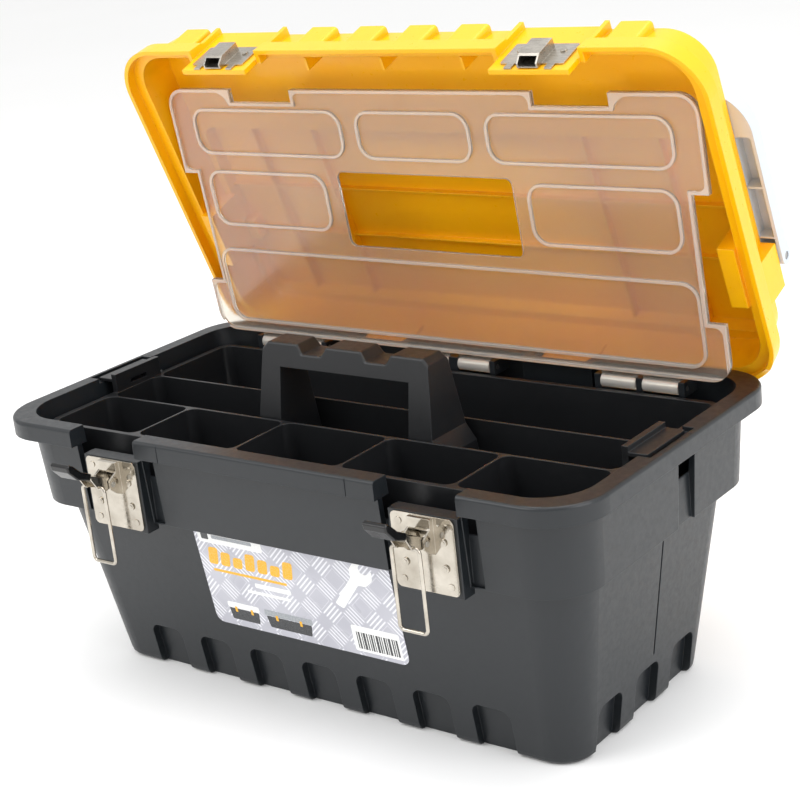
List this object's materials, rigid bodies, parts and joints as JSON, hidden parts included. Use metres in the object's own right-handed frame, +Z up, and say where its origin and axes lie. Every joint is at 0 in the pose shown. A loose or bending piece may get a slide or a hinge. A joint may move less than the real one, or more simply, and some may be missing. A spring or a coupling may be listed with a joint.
{
  "type": "toolbox with tray",
  "caption": "Plastic toolbox with a hinged lid, toggle latches, a clear organiser cover, a folding carry handle and a lift-out divided tray.",
  "frame": {"origin": "middle of the tub's flat underside", "axes": "+X along the box's length, -Y towards the latches, +Z up"},
  "size_m": [0.458, 0.3222, 0.4125],
  "materials": {
    "tub_plastic": "fine satin moulded grain",
    "lid_plastic": "smooth yellow moulding",
    "tray_plastic": "satin moulded",
    "clear_plastic": "milky translucent",
    "handle_plastic": "light grey moulding",
    "soft_grip": "soft matt",
    "dipped_vinyl": "glossy dipped coating",
    "label_film": "printed film",
    "strike_steel": "satin nickel plate",
    "latch_steel": "bright nickel plate",
    "pin_steel": "drawn wire"
  },
  "bodies": {
    "tub_body": {"tub": "tub_plastic", "latch_plate_left": "latch_steel", "latch_pin_left": "pin_steel", "latch_rivets_left": "latch_steel", "lid_hinge_pin_left": "pin_steel", "latch_plate_right": "latch_steel", "latch_pin_right": "pin_steel", "latch_rivets_right": "latch_steel", "lid_hinge_pin_right": "pin_steel", "cover_pin_left": "pin_steel", "cover_pin_middle": "pin_steel", "cover_pin_right": "pin_steel", "label": "label_film"},
    "lid_body": {"lid": "lid_plastic", "strike_left": "strike_steel", "strike_rivets_left": "strike_steel", "handle_pin_left": "pin_steel", "strike_right": "strike_steel", "strike_rivets_right": "strike_steel", "handle_pin_right": "pin_steel"},
    "cover_body": {"organiser_cover": "clear_plastic"},
    "handle_body": {"carry_handle": "handle_plastic", "handle_grip": "soft_grip"},
    "tray_body": {"tray": "tray_plastic", "tray_handle": "tray_plastic"},
    "lever_left": {"latch_lever_left": "latch_steel", "lever_grip_left": "dipped_vinyl"},
    "bail_left": {"latch_bail_left": "latch_steel"},
    "lever_right": {"latch_lever_right": "latch_steel", "lever_grip_right": "dipped_vinyl"},
    "bail_right": {"latch_bail_right": "latch_steel"}
  },
  "joints": [
    {"name": "lid_hinge", "type": "hinge", "parent": "tub_body", "child": "lid_body", "pos_m": [0, 0.1152, 0.1767], "axis": [-1, 0, 0], "range_deg": [-68.6, 18]},
    {"name": "cover_hinge", "type": "hinge", "parent": "tub_body", "child": "cover_body", "pos_m": [0, 0.0965, 0.1785], "axis": [-1, 0, 0], "range_deg": [-82.35, 21.65]},
    {"name": "handle_pivot", "type": "hinge", "parent": "lid_body", "child": "handle_body", "pos_m": [0, 0.13807, 0.2573], "axis": [-1, 0, 0], "range_deg": [0, 90]},
    {"name": "tray_lift", "type": "slide", "parent": "tub_body", "child": "tray_body", "axis": [0, -0.134, 0.991], "range_m": [0, 0.085]},
    {"name": "lever_pivot_left", "type": "hinge", "parent": "tub_body", "child": "lever_left", "pos_m": [-0.124, -0.1259, 0.154], "axis": [-1, 0, 0], "range_deg": [-114, 0]},
    {"name": "bail_swing_left", "type": "hinge", "parent": "lever_left", "child": "bail_left", "pos_m": [-0.124, -0.13586, 0.15487], "axis": [-1, 0, 0], "range_deg": [-0.5, 297.6]},
    {"name": "lever_pivot_right", "type": "hinge", "parent": "tub_body", "child": "lever_right", "pos_m": [0.124, -0.1259, 0.154], "axis": [-1, 0, 0], "range_deg": [-114, 0]},
    {"name": "bail_swing_right", "type": "hinge", "parent": "lever_right", "child": "bail_right", "pos_m": [0.124, -0.13586, 0.15487], "axis": [-1, 0, 0], "range_deg": [-0.5, 297.6]}
  ],
  "couplings": [
    {"joint": "cover_hinge", "follows": "lid_hinge", "ratio": 1.1997},
    {"joint": "bail_swing_left", "follows": "lever_pivot_left", "ratio": -2.6064},
    {"joint": "bail_swing_right", "follows": "lever_pivot_right", "ratio": -2.6064}
  ]
}
